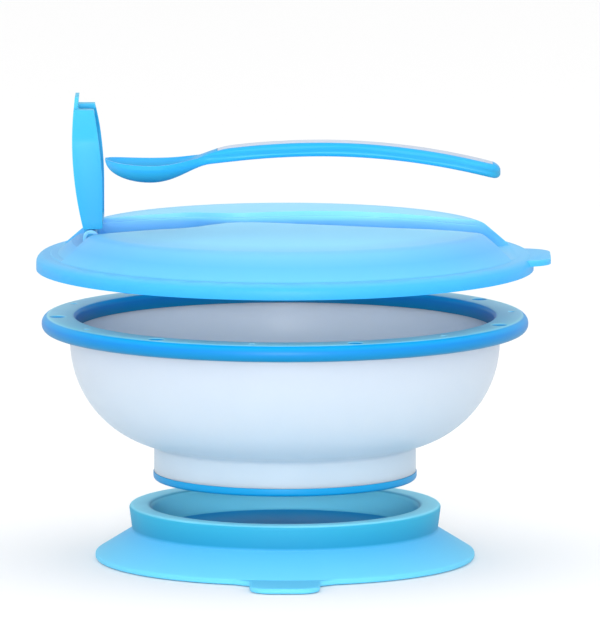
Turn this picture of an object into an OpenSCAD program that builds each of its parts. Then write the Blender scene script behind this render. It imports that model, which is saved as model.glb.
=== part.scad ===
// Suction bowl for a small child: a bowl with a soft rim, a suction base that it presses into,
// a lid with a spoon channel under a hinged flap, and a spoon.
// The pieces stand apart, one above the other, as they do before the set is put together.

/* [Suction base] */
// How far the suction skirt spreads past the collar
skirt_out = 12.1; // [8:0.1:20]
// Height of the skirt where it meets the collar
skirt_h = 10.3; // [8:0.1:14]
// Overall height of the collar above the table
collar_h = 19.5; // [16:0.1:28]
// Thickness of the soft collar wall
collar_wall = 8.5; // [4:0.1:12]
// Rounding of the collar's top edges
collar_round = 1.6; // [0.5:0.1:3]
// Height of the socket floor above the table
floor_z = 10.2; // [8:0.1:14]
// Height of the hollow under the suction skirt
suction_h = 5.6; // [2:0.1:7]
// Thickness of the skirt's lip at the table
lip_t = 2; // [0.8:0.1:3]
// Width of the release tab
tab_w = 25; // [16:0.5:40]
// How far the release tab reaches past the skirt
tab_reach = 19; // [8:0.5:24]
// Thickness of the release tab
tab_t = 2; // [1.2:0.1:4]

/* [Bowl] */
// Outer radius of the soft foot ring
foot_r = 47.5; // [39:0.1:58]
// Height of the soft foot ring
foot_ring_h = 2.9; // [2:0.1:6]
// Wall thickness of the bowl
bowl_wall = 2.2; // [1.5:0.1:4]
// Height of the bowl's underside above the foot
underside_h = 12; // [6:0.1:20]
// Outer radius of the bowl below its rim
bowl_r = 77.4; // [70:0.1:100]
// How far the flat part of the floor stays inside the foot
floor_in = 7.5; // [4:0.1:12]
// How far below the rim's top the curved side turns upright
side_in = 9.3; // [6:0.1:14]
// Overall height of the bowl with its rim
bowl_h = 59.6; // [48:0.1:90]

/* [Soft rim] */
// How far the soft rim stands out past the bowl wall
rim_out = 10.2; // [6:0.1:14]
// Thickness of the soft rim
rim_t = 6; // [5.6:0.1:9]
// How far the soft rim covers the inside of the bowl
rim_in_h = 5.5; // [3:0.1:8]
// Pairs of one large and one small dimple round the rim
dimple_pairs = 7; // [3:1:10]
// Radius of a large dimple
dimple_big_r = 3.1; // [1.5:0.1:4]
// Radius of a small dimple
dimple_small_r = 1.35; // [0.6:0.05:2]
// Depth of the dimples
dimple_depth = 1; // [0.4:0.1:1.6]

/* [Lid] */
// Wall thickness of the lid and of the flap
lid_wall = 1.6; // [1.2:0.1:2]
// Depth of the lid's edge below its flange, over the soft rim
lid_edge_h = 4; // [3:0.1:7]
// How far inside the bowl's wall the lid's raised middle turns down
shoulder_in = 6.9; // [5:0.1:10]
// Height of the raised middle at that radius, above the lid's lowest edge
shoulder_h = 15.2; // [14:0.1:18]
// Rounding of that turn
shoulder_round = 7; // [4:0.1:9]
// Steepness of the side below that turn, measured from upright
side_lean = 50; // [35:1:54]
// How much higher the centre of the lid is than its shoulder
crown_h = 3.5; // [2:0.1:6]
// Width of the pull tab
pull_w = 36; // [24:0.5:50]
// How far the pull tab stands out past the lid
pull_reach = 6; // [5:0.1:14]

/* [Spoon channel] */
// Half width of the deep part, which holds the spoon's bowl
pit_half = 20.5; // [19:0.1:24]
// Half width of the narrow part at the spoon's neck
waist_half = 11.4; // [10:0.1:13]
// Half width of the finger hollow beside the handle
scoop_half = 20; // [17:0.1:24]
// Half width of the open end
mouth_half = 15.6; // [14:0.1:17]
// How much wider the channel opens at each of its ends
flare = 14; // [4:0.5:18]
// Width of the step round the channel
rebate_w = 2.2; // [1:0.1:3]
// Depth of the step round the channel
rebate_d = 1.6; // [0.8:0.1:2]

/* [Flap] */
// How far the flap covers the spoon past its neck
flap_past_neck = 2.9; // [1:0.1:4]
// Reach of the finger lip past that edge
flap_lip = 4; // [2:0.1:5]
// Half width of the finger lip
flap_lip_half = 8; // [5:0.1:9]
// Height of the flap's domed middle over its ends
flap_crown = 2; // [1:0.1:3]
// Depth of the flap's side walls below the hinge's centre
flap_side = 4.2; // [3:0.1:4.6]
// Radius of the hinge barrel
barrel_r = 2.3; // [2:0.1:2.6]
// Radius of the hinge pins at the barrel's ends
pin_r = 1.5; // [1:0.05:1.7]
// Length of each hinge pin
pin_len = 2.4; // [1.5:0.1:3]
// Thickness of the ears that hold the pins
ear_t = 3; // [2:0.1:4]
// Angle to which the flap stands open
flap_open = 90; // [60:1:110]

/* [Spoon] */
// Half width of the spoon's bowl
spoon_half = 13; // [10:0.1:13.4]
// Wall thickness of the spoon's bowl
spoon_wall = 1.6; // [1:0.1:2.5]
// Half width of the handle
handle_half = 6; // [4:0.1:7]
// Thickness of the handle
handle_t = 5.4; // [3:0.1:6.6]
// Height of the handle's arch above the spoon's lowest point
arch_h = 9.6; // [8:0.1:10.8]
// Share of the handle's half width that the inlay takes
inlay_share = 0.73; // [0.4:0.01:0.85]
// Depth of the inlay in the handle
inlay_t = 1.3; // [0.6:0.1:2]

/* [Fits] */
// Radial gap between the foot ring and the base's socket
socket_gap = 0.3; // [0.2:0.05:0.6]
// Gap between faces that rest on each other
seat_gap = 0.3; // [0.2:0.05:0.6]
// Radial gap between the soft rim and the lid's edge
lid_gap = 0.3; // [0.2:0.05:0.6]
// Gap between the flap and the channel round it
flap_gap = 0.4; // [0.3:0.05:0.8]
// Gap between the stowed spoon and the channel floor
spoon_gap = 0.4; // [0.3:0.05:0.8]
// Radial gap between a hinge pin and its hole
pin_gap = 0.05; // [0.02:0.01:0.1]

/* [Standing apart] */
// How far the bowl is lifted out of the base
bowl_lift = 18.3; // [12:0.1:30]
// How far the lid is lifted off the bowl
lid_lift = 20.3; // [12:0.1:40]
// How far the spoon is lifted out of its channel
spoon_lift = 31; // [30.6:0.1:45]
// How far the spoon is held towards the front of its channel
spoon_forward = 33.7; // [33.7:0.1:36]

/* [Hidden] */
$fn = 160;
far = 300;

// Heights of the pieces as they stand apart, each measured from the table.
bowl_z = floor_z + seat_gap + bowl_lift;
rim_outer_r = bowl_r + rim_out;
lid_r = rim_outer_r + lid_gap + lid_wall;
lid_z = bowl_z + bowl_h + seat_gap - lid_edge_h + lid_lift;

// The suction base.
socket_r = foot_r + socket_gap;
collar_r = socket_r + collar_wall;
skirt_r = collar_r + skirt_out;
collar_taper = 1.2;
skirt_top_r = collar_r - collar_taper;
lip_land = 1;
tab_root_in = 3;
tab_end = skirt_r + tab_reach;
tab_fillet = 4;
tab_round = 8;

// The bowl: its side is a quarter of an ellipse round the edge of the flat floor.
floor_r = foot_r - floor_in;
side_h = bowl_h - side_in;
foot_step = 0.3;
side_a = bowl_r - floor_r;
side_b = side_h - underside_h;
foot_wall_in = foot_r - 3;
tongue_in = foot_r - 2.4;
tongue_out = foot_r - 1;
tongue_z = 1.1;

// The soft rim, round a flange of the bowl.
flange_t = 2;
flange_z = bowl_h - 4.4;
flange_out = 6.1;
band_t = bowl_wall / 2;
mouth_r = bowl_r - bowl_wall;
dimple_ring_r = bowl_r + rim_out * 0.45;
dimple_turn = 30.6;

// The lid: a flange, a rounded shoulder and a shallow cap of a sphere.
flange_top = lid_edge_h + lid_wall;
lid_edge_round = 3;
lid_inner_round = lid_edge_round - lid_wall;
shoulder_r = bowl_r - shoulder_in;
side_foot_r = shoulder_r + shoulder_round * cos(side_lean)
    + (shoulder_h - flange_top - shoulder_round * (1 - sin(side_lean))) * tan(side_lean);
pull_tab_h = 2.2;
pull_tab_drop = 0.6;
pull_tab_round = 10;
cap_r = (shoulder_r * shoulder_r + crown_h * crown_h) / (2 * crown_h);

// The hinge, measured from the lid's axis and its lowest edge.
hinge_x = -(shoulder_r - 1);
hinge_z = shoulder_h - 1.9;
deck_z = hinge_z - barrel_r - 0.9;
ear_r = barrel_r + 0.5;
barrel_half = 15;
ear_in = barrel_half + 0.3;
flap_start = ear_r + 0.6;
flap_heel = 1.8;
flap_lip_t = 1.4;
flap_end_trim = 3.2;
trim_from = 0.35;

// The spoon, measured from below the middle of its own bowl.
spoon_seat = 4.2;
tip_x = hinge_x + 5.5;
bowl_x = tip_x + 16;
neck_x = bowl_x + 21;
arch_x = neck_x + 40;
handle_end = shoulder_r + 6.3;
end_round = 2.8;
end_drop = 2;
arch_r_tip = 270;
arch_r_end = (handle_end - arch_x) * (handle_end - arch_x) / (2 * (arch_h - 1.1));
spoon_deep = 8.2;
rim_mid = 7.3;
rim_tip_rise = 1.3;
neck_half = 4.2;
spoon_lip = 1.1;
handle_edge = 0.2;
tip_blunt = 0.04;
end_blunt = 0.02;
blend_in = 4;
blend_run = 24;
dish_in = 5;
rim_run = 29;
widen_in = 4;
handle_run = 14;
inlay_step = 0.05;
inlay_from = neck_x + 3;
inlay_to = handle_end - end_round;
handle_top = spoon_seat + arch_h + handle_t;
flap_len = neck_x - hinge_x + flap_past_neck;
flap_end_rise = handle_top + 0.3 - hinge_z - flap_heel;

// The spoon channel, which follows the spoon's outline.
channel_end = side_foot_r + 2;
flare_from = shoulder_r - 8.5;
waist_x = neck_x + 9;
waist_run = 18;
scoop_x = arch_x + 17;
scoop_run = 22;
widen_run = 27;
deck_edge_x = hinge_x + flap_start - 0.6;
plan_steps = ceil(2 * flare_from / 5.2);
side_steps = ceil((channel_end - bowl_x) / 5.65);

function clamp01(t) = min(1, max(0, t));
function ease(t) = let (u = clamp01(t)) u * u * (3 - 2 * u);
function mix(a, b, t) = a + (b - a) * t;
function side(v) = v < 0 ? -1 : 1;

// Points along an arc, from angle a0 to angle a1, in n steps.
function arc(cx, cy, r, a0, a1, n) =
    [for (i = [0:n]) let (a = mix(a0, a1, i / n)) [cx + r * cos(a), cy + r * sin(a)]];

// Height of the lid's cap above its lowest edge, at a distance x from the axis.
function cap_z(x) = shoulder_h + crown_h - cap_r + sqrt(cap_r * cap_r - x * x);

// ---- Suction base ----
module skirt_and_collar() {
    hollow_r = skirt_r - lip_t - lip_land;
    rotate_extrude()
        polygon(concat(
            [[0, floor_z], [socket_r, floor_z]],
            arc(socket_r + collar_round, collar_h - collar_round, collar_round, 180, 90, 8),
            arc(collar_r - collar_round, collar_h - collar_round, collar_round, 90, 0, 8),
            [[skirt_top_r, skirt_h]],
            arc(skirt_r - lip_t / 2, lip_t / 2, lip_t / 2, 60, -90, 8),
            [[hollow_r, 0]],
            [for (i = [1:12]) let (s = 1 - i / 12) [hollow_r * s, suction_h * (1 - s * s)]]
        ));
}

module release_tab() {
    root = skirt_r - tab_root_in;
    half = tab_w / 2;
    rotate([0, 0, -90])
        linear_extrude(tab_t)
            polygon(concat(
                [[root, -half - tab_fillet]],
                arc(skirt_r + tab_fillet - 1, -half - tab_fillet, tab_fillet, 180, 90, 8),
                arc(tab_end - tab_round, -half + tab_round, tab_round, -90, 0, 10),
                arc(tab_end - tab_round, half - tab_round, tab_round, 0, 90, 10),
                arc(skirt_r + tab_fillet - 1, half + tab_fillet, tab_fillet, -90, -180, 8),
                [[root, half + tab_fillet]]
            ));
}

module suction_base() {
    color("#4fc3f8") union() {
        skirt_and_collar();
        release_tab();
    }
}

// ---- Bowl ----
// Height of the bowl's side at angle a from its upright part, for a wall offset w inwards.
function side_point(a, w) =
    [floor_r + (side_a - w) * cos(a), side_h - (side_b - w) * sin(a)];

module bowl_shell() {
    foot_a = acos((foot_r - foot_step - floor_r) / side_a);
    color("#dfe6f0")
        translate([0, 0, bowl_z])
            rotate_extrude()
                polygon(concat(
                    [[0, underside_h], [foot_wall_in, underside_h], [foot_wall_in, foot_ring_h],
                     [tongue_in, foot_ring_h], [tongue_in, tongue_z], [tongue_out, tongue_z],
                     [tongue_out, foot_ring_h], [foot_r - foot_step, foot_ring_h]],
                    [for (i = [0:18]) side_point(mix(foot_a, 0, i / 18), 0)],
                    [[bowl_r, flange_z], [bowl_r + flange_out, flange_z],
                     [bowl_r + flange_out, flange_z + flange_t],
                     [mouth_r + band_t, flange_z + flange_t],
                     [mouth_r + band_t, bowl_h - rim_in_h], [mouth_r, bowl_h - rim_in_h]],
                    [for (i = [0:18]) side_point(90 * i / 18, bowl_wall)],
                    [[0, underside_h + bowl_wall]]
                ));
}

module rim_section() {
    z0 = bowl_h - rim_t;
    r_out = rim_t / 2 - 0.2;
    r_in = 1.6;
    polygon(concat(
        [[bowl_r, z0], [bowl_r, flange_z], [bowl_r + flange_out, flange_z],
         [bowl_r + flange_out, flange_z + flange_t], [mouth_r + band_t, flange_z + flange_t],
         [mouth_r + band_t, bowl_h - rim_in_h], [mouth_r, bowl_h - rim_in_h]],
        arc(mouth_r + r_in, bowl_h - r_in, r_in, 180, 90, 6),
        arc(rim_outer_r - r_out, bowl_h - r_out, r_out, 90, 0, 10),
        arc(rim_outer_r - r_out, z0 + r_out, r_out, 0, -90, 10)
    ));
}

module dimple(r) {
    ball = (r * r + dimple_depth * dimple_depth) / (2 * dimple_depth);
    translate([dimple_ring_r, 0, bowl_h - dimple_depth + ball])
        sphere(r = ball, $fn = 48);
}

module rim_grip() {
    step = 360 / dimple_pairs;
    color("#20c0f8")
        translate([0, 0, bowl_z])
            difference() {
                rotate_extrude() rim_section();
                for (i = [0:dimple_pairs - 1]) {
                    rotate([0, 0, dimple_turn + i * step]) dimple(dimple_big_r);
                    rotate([0, 0, dimple_turn + (i + 0.5) * step]) dimple(dimple_small_r);
                }
            }
}

module foot_grip() {
    round_r = 1.2;
    inner_r = foot_wall_in - foot_step;
    color("#00aaf5")
        translate([0, 0, bowl_z])
            rotate_extrude()
                polygon(concat(
                    arc(inner_r + round_r, round_r, round_r, 180, 270, 6),
                    arc(foot_r - round_r, round_r, round_r, -90, 0, 6),
                    [[foot_r, foot_ring_h], [tongue_out, foot_ring_h], [tongue_out, tongue_z],
                     [tongue_in, tongue_z], [tongue_in, foot_ring_h],
                     [inner_r, foot_ring_h]]
                ));
}

// ---- Spoon outline, which the channel in the lid follows ----
// Underside of the handle's arch.
function arch(x) =
    arch_h - (x - arch_x) * (x - arch_x) / (2 * (x < arch_x ? arch_r_tip : arch_r_end));

// How much the handle's faces draw together at its rounded end.
function end_in(x) =
    let (u = clamp01((x - inlay_to) / end_round)) end_drop * (1 - sqrt(1 - u * u));

// Lowest line of the spoon along its length.
function spoon_under(x) =
    x < bowl_x
        ? let (u = min(1, (bowl_x - x) / (bowl_x - tip_x))) spoon_deep * (1 - sqrt(1 - u * u))
        : arch(x) * ease((x - bowl_x) / (neck_x - bowl_x)) + end_in(x);

// ---- Lid ----
// Half width of the channel along its length.
function channel_half(x) =
    let (scoop = mouth_half + (scoop_half - mouth_half) * exp(-pow((x - scoop_x) / scoop_run, 2)),
         out = clamp01((abs(x) - flare_from) / (channel_end + 1 - flare_from)))
    waist_half + (pit_half - waist_half) * ease((waist_x - x) / waist_run)
        + (scoop - waist_half) * ease((x - waist_x) / widen_run)
        + flare * (1 - sqrt(1 - out * out));

// Height of the channel's floor along its length.
function channel_floor(x) =
    x < deck_edge_x ? deck_z
    : x < tip_x ? mix(spoon_seat - spoon_gap, deck_z,
                      ease((tip_x - x) / (tip_x - deck_edge_x)))
    : x < bowl_x ? spoon_seat - spoon_gap
    : max(x > shoulder_r ? flange_top : 0, spoon_seat + spoon_under(x) - spoon_gap);

// The channel's plan and its side profile, both grown by g.
module channel_plan(g) {
    xs = concat([for (i = [0:6]) mix(-channel_end - g, -flare_from, i / 6)],
                [for (i = [1:plan_steps]) mix(-flare_from, flare_from, i / plan_steps)],
                [for (i = [1:6]) mix(flare_from, channel_end + g, i / 6)]);
    polygon(concat([for (x = xs) [x, channel_half(x) + g]],
                   [for (i = [len(xs) - 1:-1:0]) [xs[i], -channel_half(xs[i]) - g]]));
}

module channel_side(g) {
    xs = concat([-channel_end - g, deck_edge_x + g],
                [for (i = [1:6]) mix(deck_edge_x, tip_x, i / 6) + g],
                [for (i = [0:side_steps]) mix(bowl_x, channel_end + g, i / side_steps)]);
    polygon(concat([for (x = xs) [x, channel_floor(x - (x < bowl_x ? g : 0)) - g]],
                   [[channel_end + g, far], [-channel_end - g, far]]));
}

module channel(g) {
    intersection() {
        linear_extrude(far) channel_plan(g);
        rotate([90, 0, 0]) linear_extrude(far, center = true) channel_side(g);
    }
}

// The lid's outer shape, or with t set, the same shape t inside it.
module lid_dome(t) {
    z_foot = flange_top - t;
    turn = asin(shoulder_r / cap_r);
    round_r = shoulder_round - t;
    foot_in = t * (1 - sin(side_lean)) / cos(side_lean);
    edge_r = t > 0 ? lid_inner_round : lid_edge_round;
    rotate_extrude()
        polygon(concat(
            [[0, t > 0 ? -far : 0], [lid_r - t, t > 0 ? -far : 0]],
            arc(lid_r - t - edge_r, z_foot - edge_r, edge_r, 0, 90, 6),
            [[side_foot_r - foot_in, z_foot]],
            arc(shoulder_r, shoulder_h - shoulder_round, round_r, side_lean, 90, 8),
            [for (i = [1:14]) let (a = turn * (1 - i / 14))
                [cap_r * sin(a), cap_z(0) - cap_r + cap_r * cos(a) - t]]
        ));
}

// The step round the channel: the channel's plan grown by w, down to d below the cap.
module rebate(w, d) {
    land = 0.3;
    z_low = flange_top + land + rebate_d - d;
    round_r = shoulder_round - d;
    arc_end = [shoulder_r + round_r * cos(side_lean),
               shoulder_h - shoulder_round + round_r * sin(side_lean)];
    low_r = arc_end[0] + (arc_end[1] - z_low) * tan(side_lean);
    intersection() {
        linear_extrude(far) channel_plan(w);
        rotate_extrude()
            polygon(concat(
                [for (i = [0:10]) let (r = shoulder_r * i / 10) [r, cap_z(r) - d]],
                arc(shoulder_r, shoulder_h - shoulder_round, round_r, 82, side_lean, 6),
                [[low_r, z_low], [lid_r + 1, z_low], [lid_r + 1, far], [0, far]]
            ));
    }
}

module pull_tab() {
    half = pull_w / 2;
    corner = pull_tab_round;
    reach = lid_r + pull_reach;
    root = lid_r - lid_wall;
    translate([0, 0, flange_top - pull_tab_h - pull_tab_drop])
        linear_extrude(pull_tab_h)
            polygon(concat(
                [[root - corner, -half]],
                arc(reach - corner, -half + corner, corner, -90, 0, 8),
                arc(reach - corner, half - corner, corner, 0, 90, 8),
                [[root - corner, half]]
            ));
}

module ear() {
    rotate([90, 0, 0])
        linear_extrude(ear_t)
            union() {
                circle(r = ear_r, $fn = 64);
                translate([-ear_r, deck_z - lid_wall / 2 - hinge_z])
                    square([2 * ear_r, hinge_z - deck_z + lid_wall / 2]);
            }
}

module lid_shell() {
    color("#8ddcfe")
        translate([0, 0, lid_z])
            difference() {
                union() {
                    difference() {
                        union() {
                            lid_dome(0);
                            pull_tab();
                        }
                        channel(0);
                        rebate(rebate_w, rebate_d);
                        difference() {
                            lid_dome(lid_wall);
                            channel(lid_wall);
                            rebate(rebate_w + lid_wall, rebate_d + lid_wall);
                        }
                    }
                    for (s = [-1, 1])
                        translate([hinge_x, s * (ear_in + ear_t / 2) + ear_t / 2, hinge_z]) ear();
                }
                translate([hinge_x, 0, hinge_z])
                    rotate([90, 0, 0])
                        cylinder(r = pin_r + pin_gap, h = 2 * (ear_in + ear_t) + 1, center = true,
                                 $fn = 64);
            }
}

// ---- Flap, drawn closed along +X from its hinge, then turned open ----
function flap_outer(x) =
    let (u = x / flap_len)
    flap_heel + flap_end_rise * u + 4 * flap_crown * u * (1 - u);

// Lower edge of the side walls, which curves up to the far end and stays clear of the
// channel's floor when the flap is shut.
function flap_low(x) =
    max(-flap_side + flap_end_trim * pow(clamp01((x / flap_len - trim_from) / (1 - trim_from)), 2),
        channel_floor(hinge_x + x) - hinge_z + 2 * flap_gap);

module flap_room() {
    xs = concat([flap_start - 1], [for (i = [0:6]) mix(flap_start, tip_x - hinge_x, i / 6)],
                [for (i = [1:20]) mix(tip_x - hinge_x, flap_len + flap_lip, i / 20)]);
    rotate([90, 0, 0])
        linear_extrude(far, center = true)
            polygon(concat([for (x = xs) [x, flap_low(x)]],
                           [[flap_len + flap_lip, far], [flap_start - 1, far]]));
}

module flap_plan(inset) {
    xs = [for (i = [0:16]) mix(flap_start + inset, flap_len - inset, i / 16)];
    polygon(concat([for (x = xs) [x, flap_half(x) - inset]],
                   [for (i = [len(xs) - 1:-1:0]) [xs[i], -flap_half(xs[i]) + inset]]));
}
function flap_half(x) = channel_half(hinge_x + x) - flap_gap;

module flap_slab(x0, x1, t, drop) {
    xs = [for (i = [0:14]) mix(x0, x1, i / 14)];
    rotate([90, 0, 0])
        linear_extrude(far, center = true)
            polygon(concat([for (x = xs) [x, flap_outer(x) - drop]],
                           [for (i = [len(xs) - 1:-1:0]) [xs[i], flap_outer(xs[i]) - drop - t]]));
}

module spoon_flap() {
    notch_half = handle_half + 2;
    color("#67cffa")
        translate([hinge_x, 0, lid_z + hinge_z])
            rotate([0, -flap_open, 0])
                union() {
                    // Domed plate and side walls
                    difference() {
                        intersection() {
                            linear_extrude(far, center = true) flap_plan(0);
                            flap_slab(-1, flap_len + 1, far, 0);
                            flap_room();
                        }
                        intersection() {
                            linear_extrude(far, center = true) flap_plan(lid_wall);
                            flap_slab(-1, flap_len + 1, far, lid_wall);
                        }
                        // Way out for the spoon's neck
                        translate([flap_len / 2, -notch_half, -far])
                            cube([far, 2 * notch_half, far + flap_outer(flap_len) - lid_wall]);
                    }
                    // Strap from the barrel to the plate
                    intersection() {
                        translate([-1, -barrel_half, -far / 2])
                            cube([flap_start + lid_wall + 1, 2 * barrel_half, far]);
                        flap_slab(-1, flap_start + lid_wall + 1, lid_wall, 0);
                    }
                    // Finger lip
                    intersection() {
                        translate([flap_len - lid_wall, -flap_lip_half, -far / 2])
                            cube([flap_lip + lid_wall, 2 * flap_lip_half, far]);
                        flap_slab(flap_len - lid_wall, flap_len + flap_lip, flap_lip_t, 0);
                    }
                    // Hinge barrel with its two pins
                    rotate([90, 0, 0]) {
                        cylinder(r = barrel_r, h = 2 * barrel_half, center = true, $fn = 64);
                        cylinder(r = pin_r, h = 2 * (barrel_half + pin_len), center = true,
                                 $fn = 64);
                    }
                }
}

// ---- Spoon ----
function spoon_w(x) =
    let (tip_u = clamp01((bowl_x - x) / (bowl_x - tip_x)),
         end_u = clamp01((x - handle_end + handle_half) / handle_half),
         neck = ease((x - bowl_x - 2) / (neck_x - bowl_x)))
    x < bowl_x ? spoon_half * sqrt(max(tip_blunt, 1 - pow(tip_u, 2.2)))
    : mix(mix(spoon_half, neck_half, neck), handle_half * sqrt(max(end_blunt, 1 - end_u * end_u)),
          ease((x - neck_x + widen_in) / handle_run));

// Share of handle, 0 in the spoon's bowl and 1 in its handle.
function handle_share(x) = ease((x - bowl_x - blend_in) / blend_run);

// Height of the spoon's edge, and of the middle of its upper face.
function spoon_rim(x) =
    x < bowl_x ? rim_mid + rim_tip_rise * pow((bowl_x - x) / (bowl_x - tip_x), 2)
    : mix(rim_mid, arch(x) + handle_t, ease((x - bowl_x) / rim_run));
function spoon_edge(x) =
    mix(spoon_rim(x), arch(x) + handle_t / 2, handle_share(x));
function spoon_top(x) =
    mix(min(spoon_under(x) + spoon_wall, spoon_rim(x) - 0.1), arch(x) + handle_t - end_in(x),
        ease((x - bowl_x - dish_in) / blend_run));

// Rounded height of the upper face at share f of the half width.
function top_round(f, k) = mix(1 - f * f, pow(max(0, 1 - pow(abs(f), 4)), 0.25), k);
function spoon_upper(x, f) =
    mix(spoon_edge(x), spoon_top(x), top_round(f, handle_share(x)));
function spoon_in_half(x) = spoon_w(x) - min(mix(spoon_lip, handle_edge, handle_share(x)), spoon_w(x) / 4);

top_shares = [1, 0.985, 0.95, 0.88, 0.8, inlay_share + 0.03, inlay_share, 0.6, 0.45, 0.3, 0.15, 0];
all_shares = concat(top_shares, [for (i = [len(top_shares) - 2:-1:0]) -top_shares[i]]);

// One ring of points across the spoon, with the inlay's groove where cut is 1.
function spoon_ring(x, cut) =
    let (w = spoon_w(x), k = handle_share(x), q = mix(1, 0.5, k), e = spoon_edge(x))
    concat(
        [for (f = all_shares)
            [x, spoon_in_half(x) * f,
             spoon_upper(x, f) - (abs(f) <= inlay_share ? cut * inlay_t : 0)]],
        [for (i = [0:14]) let (a = 180 + 180 * i / 14, c = cos(a), s = -sin(a))
            [x, w * side(c) * pow(abs(c), q),
             e - (e - spoon_under(x)) * pow(max(0, s), q)]]
    );

function middle(ring) = [for (i = [0:2]) sum_of(ring, i) / len(ring)];
function sum_of(ring, i, j = 0) = j == len(ring) ? 0 : ring[j][i] + sum_of(ring, i, j + 1);

// A closed solid through rings that all have the same number of points.
module loft(rings) {
    n = len(rings[0]);
    m = len(rings);
    last = (m - 1) * n;
    polyhedron(
        points = concat([for (r = rings) for (p = r) p], [middle(rings[0]), middle(rings[m - 1])]),
        faces = concat(
            [for (j = [0:n - 1]) [m * n, j, (j + 1) % n]],
            [for (j = [0:n - 1]) [m * n + 1, last + (j + 1) % n, last + j]],
            [for (i = [0:m - 2]) for (j = [0:n - 1])
                let (a = i * n + j, b = i * n + (j + 1) % n)
                each [[a, a + n, b + n], [a, b + n, b]]]
        ),
        convexity = 4);
}

module at_spoon() {
    translate([0, -spoon_forward, lid_z + spoon_seat + spoon_lift]) children();
}

module spoon_body() {
    tip = [for (i = [0:14]) [bowl_x - (bowl_x - tip_x) * cos(90 * i / 14), 0]];
    neck = [for (i = [1:20]) [mix(bowl_x, inlay_from, i / 20), 0]];
    handle = [for (i = [0:44]) [mix(inlay_from + inlay_step, inlay_to, i / 44), 1]];
    rest = [for (i = [0:9]) [inlay_to + inlay_step + (handle_end - inlay_to - inlay_step) * sin(10 * i), 0]];
    color("#3fb4f5") at_spoon()
        loft([for (s = concat(tip, neck, handle, rest)) spoon_ring(s[0], s[1])]);
}

module spoon_inlay() {
    shares = [for (f = all_shares) if (abs(f) <= inlay_share) f];
    xs = [for (i = [0:44]) mix(inlay_from + inlay_step, inlay_to, i / 44)];
    color("#c0cbdd") at_spoon()
        loft([for (x = xs) concat(
            [for (f = shares) [x, spoon_in_half(x) * f, spoon_upper(x, f)]],
            [for (i = [len(shares) - 1:-1:0])
                [x, spoon_in_half(x) * shares[i], spoon_upper(x, shares[i]) - inlay_t]])]);
}

suction_base();
bowl_shell();
rim_grip();
foot_grip();
lid_shell();
spoon_flap();
spoon_body();
spoon_inlay();
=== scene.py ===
"""Suction bowl set, standing apart: suction base, bowl with soft foot and rim, lid with a
flap over its spoon channel, and a spoon. The pieces' sizes are in millimetres, the light's and
the camera's in metres, and z is up from the table."""
import math

import bpy
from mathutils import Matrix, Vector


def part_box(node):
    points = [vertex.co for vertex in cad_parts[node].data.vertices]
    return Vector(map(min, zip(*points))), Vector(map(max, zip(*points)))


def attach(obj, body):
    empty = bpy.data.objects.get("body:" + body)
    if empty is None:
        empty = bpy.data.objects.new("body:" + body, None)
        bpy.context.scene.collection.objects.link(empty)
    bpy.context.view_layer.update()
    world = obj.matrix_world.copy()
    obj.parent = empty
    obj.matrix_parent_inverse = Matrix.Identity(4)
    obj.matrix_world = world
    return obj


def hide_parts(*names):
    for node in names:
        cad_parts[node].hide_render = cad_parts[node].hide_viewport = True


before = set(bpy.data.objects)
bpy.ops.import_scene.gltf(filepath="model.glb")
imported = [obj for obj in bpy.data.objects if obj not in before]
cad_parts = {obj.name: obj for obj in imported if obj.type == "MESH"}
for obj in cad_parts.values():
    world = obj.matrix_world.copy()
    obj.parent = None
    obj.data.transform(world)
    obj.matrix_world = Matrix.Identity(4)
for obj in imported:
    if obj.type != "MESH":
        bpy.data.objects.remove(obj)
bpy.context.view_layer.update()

# ---- Suction base -------------------------------------------------------------------------
# One soft moulding of thermoplastic elastomer: a thick collar that grips the bowl's foot, a
# flared skirt that the vacuum holds to the table, and a tab at the front that peels it off.
MM = 0.001        # one millimetre in Blender's metres


def rounded(corners, steps=6):
    """An outline from (radius, height, rounding) corners in mm, each rounded by an arc."""
    points = []
    for i, (x, z, r) in enumerate(corners):
        if r == 0 or i in (0, len(corners) - 1):
            points.append((x, z))
            continue
        before, after = corners[i - 1], corners[i + 1]
        a = math.atan2(before[1] - z, before[0] - x)
        b = math.atan2(after[1] - z, after[0] - x)
        turn = (b - a + math.pi) % (2 * math.pi) - math.pi
        half = abs(turn) / 2
        reach = r / math.tan(half)
        middle = a + turn / 2
        cx = x + math.cos(middle) * r / math.sin(half)
        cz = z + math.sin(middle) * r / math.sin(half)
        start = math.atan2(z + math.sin(a) * reach - cz, x + math.cos(a) * reach - cx)
        end = math.atan2(z + math.sin(b) * reach - cz, x + math.cos(b) * reach - cx)
        sweep = (end - start + math.pi) % (2 * math.pi) - math.pi
        points += [(cx + r * math.cos(start + sweep * k / steps),
                    cz + r * math.sin(start + sweep * k / steps)) for k in range(steps + 1)]
    return points


def finish_mesh(piece, angle=35):
    """Merges the seam, turns the normals outwards and shades the piece smooth."""
    bpy.ops.object.mode_set(mode="EDIT")
    bpy.ops.mesh.select_all(action="SELECT")
    bpy.ops.mesh.remove_doubles(threshold=2e-6)
    bpy.ops.mesh.normals_make_consistent(inside=False)
    bpy.ops.object.mode_set(mode="OBJECT")
    bpy.ops.object.shade_smooth_by_angle(angle=math.radians(angle))
    return piece


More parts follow.
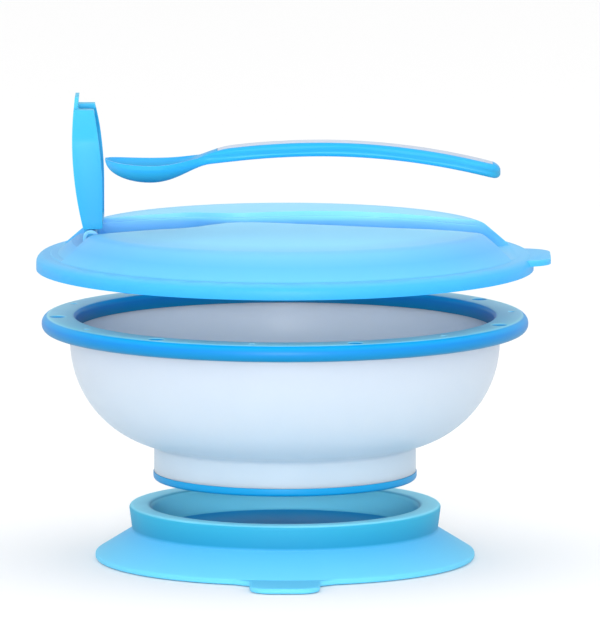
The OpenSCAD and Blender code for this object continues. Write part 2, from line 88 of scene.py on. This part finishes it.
def traced(name, points):
    """A line through the points in mm, pulled out corner by corner and left in edit mode."""
    bpy.ops.object.select_all(action="DESELECT")
    bpy.ops.mesh.primitive_plane_add(size=MM, location=[c * MM for c in points[0]])
    piece = bpy.context.object
    piece.name = piece.data.name = name
    bpy.ops.object.transform_apply(location=True, rotation=True, scale=True)
    bpy.ops.object.mode_set(mode="EDIT")
    bpy.ops.mesh.merge(type="CENTER")
    for here, there in zip(points, points[1:]):
        step = [(b - a) * MM for a, b in zip(here, there)]
        bpy.ops.mesh.extrude_vertices_move(TRANSFORM_OT_translate={"value": step})
    bpy.ops.mesh.select_all(action="SELECT")
    return piece


def turned(name, outline, steps=192, lift=0):
    """A piece turned round the bowl's axis from the outline of half its section, in mm."""
    piece = traced(name, [(x, 0, z + lift) for x, z in outline])
    bpy.ops.mesh.spin(steps=steps, angle=2 * math.pi, center=(0, 0, 0), axis=(0, 0, 1))
    bpy.ops.object.mode_set(mode="OBJECT")
    return finish_mesh(piece)


def apply(piece, kind, **settings):
    """Adds a modifier to the piece and applies it."""
    bpy.ops.object.select_all(action="DESELECT")
    bpy.context.view_layer.objects.active = piece
    piece.select_set(True)
    modifier = piece.modifiers.new(kind.title(), kind)
    for key, value in settings.items():
        setattr(modifier, key, value)
    bpy.ops.object.modifier_apply(modifier=modifier.name)


def linear(hex_colour):
    """A linear RGBA colour from an sRGB hex value such as "4FC3F8"."""
    levels = [int(hex_colour[i:i + 2], 16) / 255 for i in (0, 2, 4)]
    return tuple(c / 12.92 if c <= 0.04045 else ((c + 0.055) / 1.055) ** 2.4
                 for c in levels) + (1,)


def add_node(tree, kind, links=None, **settings):
    """Adds a shader node. Settings are sockets or properties, links go socket to output."""
    made = tree.nodes.new(kind)
    for key, value in settings.items():
        if hasattr(made, key):
            setattr(made, key, value)
        else:
            made.inputs[key.replace("_", " ")].default_value = value
    for key, output in (links or {}).items():
        tree.links.new(made.inputs[key], output)
    return made


def moulded(name, stops, roughness, milky, grain_mm=0.9, grain_depth=0.04, painted_light_wells=(), depth_mm=2):
    """A moulded plastic. Its colour, with light and shade painted into it, goes with height
    through stops of (mm, hex) and is mottled a little by the flow of the melt. The
    painted_light_wells, each (radius, height, hex), paint light and shade of their own onto what
    lies inside that radius and below that height. Milky is how much of the light goes into the
    plastic and depth_mm how far. The mould's grain is really about 0.1 mm, and is drawn coarser
    so that it shows."""
    flow_mm = 45.45
    flow_sway = 0.015
    well_edge_mm = 0.6
    grain_height_mm = 0.2
    material = bpy.data.materials.new(name)
    material.use_nodes = True
    tree = material.node_tree
    shader = tree.nodes["Principled BSDF"]
    place = add_node(tree, "ShaderNodeTexCoord")
    parts = add_node(tree, "ShaderNodeSeparateXYZ", {"Vector": place.outputs["Object"]})
    low, high = stops[0][0], stops[-1][0]
    height = add_node(tree, "ShaderNodeMapRange", {"Value": parts.outputs["Z"]},
                      From_Min=low * MM, From_Max=high * MM)
    flow = add_node(tree, "ShaderNodeTexNoise", {"Vector": place.outputs["Object"]},
                    Scale=1 / (flow_mm * MM), Detail=3, Roughness=0.55)
    sway = add_node(tree, "ShaderNodeMapRange", {"Value": flow.outputs["Fac"]},
                    To_Min=-flow_sway, To_Max=flow_sway)
    share = add_node(tree, "ShaderNodeMath", {0: height.outputs["Result"],
                                              1: sway.outputs["Result"]},
                     operation="ADD", use_clamp=True)
    ramp = add_node(tree, "ShaderNodeValToRGB", {"Fac": share.outputs["Value"]})
    for mm, _ in stops[1:-1]:
        ramp.color_ramp.elements.new((mm - low) / (high - low))
    for stop, (_, hex_colour) in zip(ramp.color_ramp.elements, stops):
        stop.color = linear(hex_colour)
    colour = ramp.outputs["Color"]
    flat = add_node(tree, "ShaderNodeCombineXYZ", {"X": parts.outputs["X"],
                                                   "Y": parts.outputs["Y"]})
    radius = add_node(tree, "ShaderNodeVectorMath", {0: flat.outputs["Vector"]},
                      operation="LENGTH")
    # Each well paints its own light or shade over the colour from the height stops.
    for well_radius, well_height, painted_well_colour in painted_light_wells:
        within = add_node(tree, "ShaderNodeMapRange", {"Value": radius.outputs["Value"]},
                          From_Min=well_radius * MM, From_Max=(well_radius + well_edge_mm) * MM,
                          To_Min=1.0, To_Max=0.0)
        below = add_node(tree, "ShaderNodeMapRange", {"Value": parts.outputs["Z"]},
                         From_Min=well_height * MM, From_Max=(well_height + well_edge_mm) * MM,
                         To_Min=1.0, To_Max=0.0)
        inside = add_node(tree, "ShaderNodeMath", {0: within.outputs["Result"],
                                                   1: below.outputs["Result"]},
                          operation="MULTIPLY")
        blend = add_node(tree, "ShaderNodeMix", {0: inside.outputs["Value"], 6: colour},
                         data_type="RGBA")
        blend.inputs[7].default_value = linear(painted_well_colour)
        colour = blend.outputs[2]
    grain = add_node(tree, "ShaderNodeTexNoise", {"Vector": place.outputs["Object"]},
                     Scale=1 / (grain_mm * MM), Detail=2, Roughness=0.5)
    bump = add_node(tree, "ShaderNodeBump", {"Height": grain.outputs["Fac"]},
                    Strength=grain_depth, Distance=grain_height_mm * MM)
    tree.links.new(shader.inputs["Base Color"], colour)
    tree.links.new(shader.inputs["Normal"], bump.outputs["Normal"])
    shader.inputs["Roughness"].default_value = roughness
    shader.inputs["IOR"].default_value = 1.5
    shader.inputs["Subsurface Weight"].default_value = milky
    shader.inputs["Subsurface Radius"].default_value = (1.0, 1.0, 1.0)
    shader.inputs["Subsurface Scale"].default_value = depth_mm * MM
    shader.inputs["Specular IOR Level"].default_value = 0.22
    return material


def dress(piece, material, body, slot, *nodes):
    """Gives the piece its material and its moving body, and hides the CAD nodes it stands for.
    The slot is not used.
    """
    piece.data.materials.clear()
    piece.data.materials.append(material)
    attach(piece, body)
    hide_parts(*nodes)


skirt_r, lip_h, lip_round = 68.4, 2.05, 0.9
seal_r, seal_round, chamber_h, chamber_steps = 65.4, 0.95, 5.6, 12
collar_r, collar_foot_z, collar_lean, collar_foot_round = 56.3, 10.3, 1.2, 0.6
collar_top, collar_round = 19.5, 1.1
socket_r, socket_floor, socket_mouth_round, socket_floor_round = 47.8, 10.2, 2.2, 0.8

# The underside is hollowed into the shallow vacuum chamber, a parabola up from the seal.
chamber = [(seal_r * k / chamber_steps, chamber_h * (1 - (k / chamber_steps) ** 2), 0)
           for k in range(chamber_steps + 1)]
base = turned("suction_base_moulding", rounded(
    chamber + [(skirt_r, 0, seal_round), (skirt_r, lip_h, lip_round),
               (collar_r - collar_lean, collar_foot_z, collar_foot_round),
               (collar_r, collar_top, collar_round), (socket_r, collar_top, socket_mouth_round),
               (socket_r, socket_floor, socket_floor_round), (0, socket_floor, 0)]), steps=240)

# The tab is drawn flat on the table, rounded at its end and flared into the skirt. It stops a
# hair above the table, so that its underside and the skirt's don't lie in one plane.
tab_half, tab_flare, tab_end, tab_round, tab_h, tab_lift = 12.5, 4, 87.4, 7.5, 2.0, 0.02
root_r, root_half, neck_in, neck_half, neck_round = 60, 21.5, 4.2, 20.5, 3
flare_out = 2
tab_side = rounded([(root_r, root_half, 0), (skirt_r - neck_in, neck_half, neck_round),
                    (skirt_r + flare_out, tab_half, tab_flare), (tab_end, tab_half, tab_round),
                    (tab_end, 0, 0)], steps=8)
tab = traced("release_tab", [(y, -x, tab_lift) for x, y in tab_side]
             + [(-y, -x, tab_lift) for x, y in tab_side[-2::-1]])
bpy.ops.mesh.edge_face_add()
bpy.ops.mesh.extrude_region_move(TRANSFORM_OT_translate={"value": (0, 0, tab_h * MM)})
bpy.ops.object.mode_set(mode="OBJECT")
finish_mesh(tab)
apply(tab, "BEVEL", width=0.8 * MM, segments=3, limit_method="ANGLE",
      angle_limit=math.radians(60))
apply(base, "BOOLEAN", operation="UNION", object=tab, solver="EXACT")
bpy.data.objects.remove(tab)
finish_mesh(base, angle=40)

# Satin from a lightly textured mould: broad, dull highlights, with a little light let in. Light
# and shade are painted by height: the collar's wall is painted darker, as shade, and its top
# paler, as a painted highlight. In the socket the wall is painted paler, as painted light, and
# the floor, deep between its walls, a fuller blue, as painted shade.
base_tpe = moulded("Soft TPE, satin moulded, sky blue",
                   [(0, "6BCAEE"), (10, "54B8EA"), (11.5, "1C90BA"), (18.9, "2DA2C6"),
                    (collar_top, "8CE4FC")],
                   roughness=0.55, milky=0.3, grain_depth=0.12,
                   painted_light_wells=((48.2, 18.8, "7CDEF6"), (46.8, 10.5, "009CDA")))
dress(base, base_tpe, "base", "base_tpe", "suction_base")

# ---- Bowl ---------------------------------------------------------------------------------
# Injection-moulded polypropylene, left unpigmented so that it is milky and frosted. It stands
# on a ring-shaped foot, and a flange at the top carries the soft rim.
bowl_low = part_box("foot_grip")[0][2] / MM
foot_wall_r, foot_in_r, foot_step_z, foot_top_z = 47.2, 44.5, 3, 11.9
tongue_low, tongue_in = 1.2, 0.6
bowl_r, bowl_wall, flat_r = 77.4, 2.2, 40
under_h, side_h, bowl_h = 12, 50.3, 59.6
flange_z, flange_t, flange_r = 55.2, 2, 83.5
seat_z, seat_in = 54.1, 1.1
side_start, crisp = 0.9, 0.3
outside_steps, inside_steps = 30, 34


def side_curve(wall, start, steps):
    """The bowl's side, a quarter ellipse from the edge of its floor up, set in by wall."""
    return [(flat_r + (bowl_r - flat_r - wall) * math.cos(a),
             side_h - (side_h - under_h - wall) * math.sin(a))
            for a in (start * (1 - k / steps) for k in range(steps + 1))]


foot_turn = math.acos((foot_wall_r + side_start - flat_r) / (bowl_r - flat_r))
outside = side_curve(0, foot_turn, outside_steps)
inside = side_curve(bowl_wall, math.pi / 2, inside_steps)[::-1]
seat_r = bowl_r - bowl_wall + seat_in
foot_outline = rounded([(0, under_h, 0), (foot_in_r, under_h, 1), (foot_in_r, tongue_low, crisp),
                        (foot_wall_r - tongue_in, tongue_low, crisp),
                        (foot_wall_r, foot_step_z, 0.1), (foot_wall_r, foot_top_z, 1.2),
                        outside[0] + (0,)])
flange_outline = rounded([outside[-1] + (0,), (bowl_r, flange_z, crisp),
                          (flange_r, flange_z, crisp), (flange_r, flange_z + flange_t, crisp),
                          (seat_r, flange_z + flange_t, crisp), (seat_r, seat_z, 0.2),
                          (bowl_r - bowl_wall, seat_z, 0.2), inside[0] + (0,)])
shell = turned("bowl_shell_frosted", [(0, under_h)] + foot_outline[1:] + outside[1:]
               + flange_outline[1:] + inside[1:] + [(0, under_h + bowl_wall)],
               steps=224, lift=bowl_low)

# Frosted by a blasted mould: a soft sheen, and so milky that light spreads far inside the wall.
# Its colour is painted by height, darkest near the foot and palest below the rim, as painted
# shade.
frosted_pp = moulded("Polypropylene, natural, frosted in the mould",
                     [(bowl_low + 3, "B4C4D2"), (bowl_low + 15, "B6C8D6"),
                      (bowl_low + 36, "BCCAD8"), (bowl_low + 53, "C4CEDC")],
                     roughness=0.38, milky=0.85, grain_mm=0.8, grain_depth=0.06, depth_mm=9)
dress(shell, frosted_pp, "bowl", "bowl_pp", "bowl_shell")

# ---- Foot ring ----------------------------------------------------------------------------
# A bright blue ring of the same elastomer as the base. It is moulded round the thin tongue under
# the bowl's foot, which holds it by its shape, and it grips the wall of the base's socket.
ring_out_r, ring_in_r, ring_h, ring_seam_r = 47.5, 44.2, 2.9, 47.0
foot_ring = turned("foot_ring_tpe", rounded(
    [(ring_seam_r, ring_h, 0), (ring_out_r, ring_h, 0.25), (ring_out_r, 0, 1.3),
     (ring_in_r, 0, 1.2), (ring_in_r, ring_h, 0.3), (ring_seam_r, ring_h, 0)]),
    steps=224, lift=bowl_low)

# A polished mould leaves it smoother than the base, so its highlights are narrower.
# Its colour is painted a little darker towards its underside, as shade.
ring_tpe = moulded("Soft TPE, polished mould, bright blue",
                   [(bowl_low, "0083C0"), (bowl_low + 3, "0093CC")],
                   roughness=0.42, milky=0.08, grain_depth=0.05)
dress(foot_ring, ring_tpe, "bowl", "rim_tpe", "foot_grip")

# ---- Soft rim -----------------------------------------------------------------------------
# A fat blue elastomer ring moulded over the flange, with seven large and seven small round
# dimples that give wet fingers a hold. It reaches a little way down inside the bowl.
rim_out_r, rim_low, rim_in_r, rim_seam_r = 87.6, 53.6, 75.15, 80
rim_lip_z, rim_lip_r = 53.9, 76.0
rim = turned("soft_rim", rounded(
    [(rim_seam_r, rim_low, 0), (rim_out_r, rim_low, 2.75), (rim_out_r, bowl_h, 2.9),
     (rim_in_r, bowl_h, 1.8), (rim_in_r, rim_lip_z, 0.5), (rim_lip_r, rim_low, 0.2),
     (rim_seam_r, rim_low, 0)],
    steps=9), steps=252, lift=bowl_low)
dimple_ring_r, dimple_deep, first_turn, pairs = 82, 1.0, 30.6, 7
large_dimple, small_dimple = 3.1, 1.35
for k in range(2 * pairs):
    reach = large_dimple if k % 2 == 0 else small_dimple
    ball = (reach ** 2 + dimple_deep ** 2) / (2 * dimple_deep)
    turn = math.radians(first_turn + k * 180 / pairs)
    bpy.ops.object.select_all(action="DESELECT")
    bpy.ops.mesh.primitive_uv_sphere_add(
        segments=64, ring_count=48, radius=ball * MM,
        location=(dimple_ring_r * math.cos(turn) * MM, dimple_ring_r * math.sin(turn) * MM,
                  (bowl_low + bowl_h - dimple_deep + ball) * MM))
    cutter = bpy.context.object
    bpy.ops.object.transform_apply(location=True, rotation=True, scale=True)
    apply(rim, "BOOLEAN", operation="DIFFERENCE", object=cutter, solver="EXACT")
    bpy.data.objects.remove(cutter)
finish_mesh(rim, angle=22)

# Polished like the foot ring. Its flat top is painted paler, a painted highlight, and its sides,
# its underside and the dimples below the top are painted a deeper blue, as shade.
rim_tpe = moulded("Soft TPE, polished mould, azure",
                  [(bowl_low + rim_low, "007BA4"), (bowl_low + 57.4, "0083CF"),
                   (bowl_low + 59.25, "04A9EB"), (bowl_low + 59.5, "9CEBFC")],
                  roughness=0.42, milky=0.1, grain_depth=0.05)
dress(rim, rim_tpe, "bowl", "rim_tpe", "rim_grip")

# ---- Lid ----------------------------------------------------------------------------------
# Injection-moulded polypropylene with a little blue in it. Its edge snaps over the soft rim.
# The channel for the spoon runs right across it, and two ears carry the flap's hinge.


def eased(name, node, width, angle=35):
    """A copy of a CAD node with its flat facets joined and its sharp edges rounded over."""
    bpy.ops.object.select_all(action="DESELECT")
    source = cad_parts[node]
    piece = bpy.data.objects.new(name, source.data.copy())
    bpy.context.scene.collection.objects.link(piece)
    piece.data.name = name
    bpy.context.view_layer.objects.active = piece
    piece.select_set(True)
    bpy.ops.object.mode_set(mode="EDIT")
    bpy.ops.mesh.select_all(action="SELECT")
    bpy.ops.mesh.remove_doubles(threshold=1e-6)
    bpy.ops.mesh.dissolve_limited(angle_limit=math.radians(0.4))
    bpy.ops.object.mode_set(mode="OBJECT")
    if width:
        apply(piece, "BEVEL", width=width * MM, segments=3, limit_method="ANGLE",
              angle_limit=math.radians(angle))
    bpy.ops.object.shade_smooth_by_angle(angle=math.radians(angle))
    return piece


lid_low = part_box("lid_shell")[0][2] / MM
lid = eased("lid_moulding", "lid_shell", 0.45)

# Half-clear blue, painted by height with light and shade: deeper at the edge, where the eye goes
# along the wall, and on the lower slopes, as painted shade, and paler on top, as a painted
# highlight.
lid_pp = moulded("Polypropylene, translucent blue, polished mould",
                 [(lid_low, "299EE2"), (lid_low + 4, "42AEE8"), (lid_low + 6, "63BBEB"),
                  (lid_low + 10, "5AB1EB"), (lid_low + 14.5, "71BBED"), (lid_low + 16, "84D3F3")],
                 roughness=0.45, milky=0.35)
dress(lid, lid_pp, "lid", "lid_pp", "lid_shell")

# ---- Flap ---------------------------------------------------------------------------------
# The same polypropylene, injection moulded as a slightly domed plate with side walls that shut
# over the spoon's bowl. Two pins moulded on it snap into the lid's ears.
flap = eased("spoon_flap_moulding", "spoon_flap", 0.4)

# The same half-clear blue as the lid, seen through its side walls, painted deeper and darkest low
# down, as painted shade.
flap_pp = moulded("Polypropylene, translucent blue, thin",
                  [(lid_low + 12, "1C9DCF"), (lid_low + 28, "2AA3D6"), (lid_low + 60, "3CB3DA")],
                  roughness=0.45, milky=0.35)
dress(flap, flap_pp, "flap", "flap_pp", "spoon_flap")

# ---- Spoon --------------------------------------------------------------------------------
# Blue polypropylene in one injection moulding. Its handle is arched to follow the floor of the
# lid's channel, and it lies there loose.
spoon_low, spoon_high = (corner[2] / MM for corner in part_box("spoon_body"))
spoon = eased("spoon_moulding", "spoon_body", 0)

# Well pigmented and nearly opaque, with a half-gloss that draws a line along the handle.
# Its colour is painted much darker at its underside, as shade.
spoon_pp = moulded("Polypropylene, blue, semi-gloss",
                   [(spoon_low, "0276A9"), (spoon_low + 3, "2695C0"), (spoon_low + 7, "2EA5E2"),
                    (spoon_high, "18A1DA")], roughness=0.4, milky=0.15)
dress(spoon, spoon_pp, "spoon", "spoon_pp", "spoon_body")

# ---- Spoon inlay --------------------------------------------------------------------------
# A strip of grey translucent polypropylene, moulded into the groove along the handle's top in
# a second shot, which bonds it to the blue.
inlay = eased("spoon_inlay_strip", "spoon_inlay", 0)

# Hardly pigmented, so it looks like the bowl's milky plastic with a cool grey in it.
# It is painted a little darker lower down, as shade.
inlay_pp = moulded("Polypropylene, grey, translucent",
                   [(spoon_low + 4, "A8BACF"), (spoon_high, "BCC8DA")],
                   roughness=0.45, milky=0.35)
dress(inlay, inlay_pp, "spoon", "inlay_pp", "spoon_inlay")

# ---- Floor, light and camera --------------------------------------------------------------
# A white table top that runs out of sight, with a large soft light overhead and one in front.
# A third light stands low in front, where it reaches into the gaps between the pieces.
bpy.ops.object.select_all(action="DESELECT")
bpy.ops.mesh.primitive_plane_add(size=60, location=(0, 0, -0.0002))
floor = bpy.context.object
floor.name = "table_top"
floor_white = bpy.data.materials.new("White laminate, matt")
floor_white.use_nodes = True
floor_shader = floor_white.node_tree.nodes["Principled BSDF"]
floor_shader.inputs["Base Color"].default_value = linear("FAFAFA")
floor_shader.inputs["Roughness"].default_value = 0.9
floor_shader.inputs["Specular IOR Level"].default_value = 0.1
floor.data.materials.append(floor_white)

scene = bpy.context.scene
scene.world = bpy.data.worlds.new("White studio")
scene.world.use_nodes = True
scene.world.node_tree.nodes["Background"].inputs["Color"].default_value = (1, 1, 1, 1)
scene.world.node_tree.nodes["Background"].inputs["Strength"].default_value = 1.0
scene.view_settings.view_transform = "Standard"
scene.view_settings.look = "None"

set_middle = Vector((0, 0, 0.08))
for name, place, size, watts in (("overhead softbox", (0.1, 0.1, 1.3), 1.2, 2),
                                 ("front softbox", (-0.3, -2.2, 0.5), 0.9, 8),
                                 ("low front light", (0, -3.9, 0.52), 0.5, 64)):
    lamp = bpy.data.lights.new(name, "AREA")
    lamp.shape, lamp.size, lamp.energy = "DISK", size, watts
    light = bpy.data.objects.new(name, lamp)
    scene.collection.objects.link(light)
    light.location = place
    aim = (light.location - set_middle).to_track_quat("Z", "Y")
    light.rotation_euler = aim.to_euler()

camera_data = bpy.data.cameras.new("camera")
camera = bpy.data.objects.new("camera", camera_data)
scene.collection.objects.link(camera)
tall_view, distance, elevation, sensor_mm = 0.2275, 4.0, math.radians(7.5), 36
look_at = Vector((0.0054, 0, 0.0877))
back = Vector((0, -math.cos(elevation), math.sin(elevation)))
camera.location = look_at + back * distance
camera.rotation_euler = back.to_track_quat("Z", "Y").to_euler()
camera_data.sensor_width = sensor_mm
camera_data.lens = sensor_mm * distance / tall_view
camera_data.clip_end = 60
scene.camera = camera
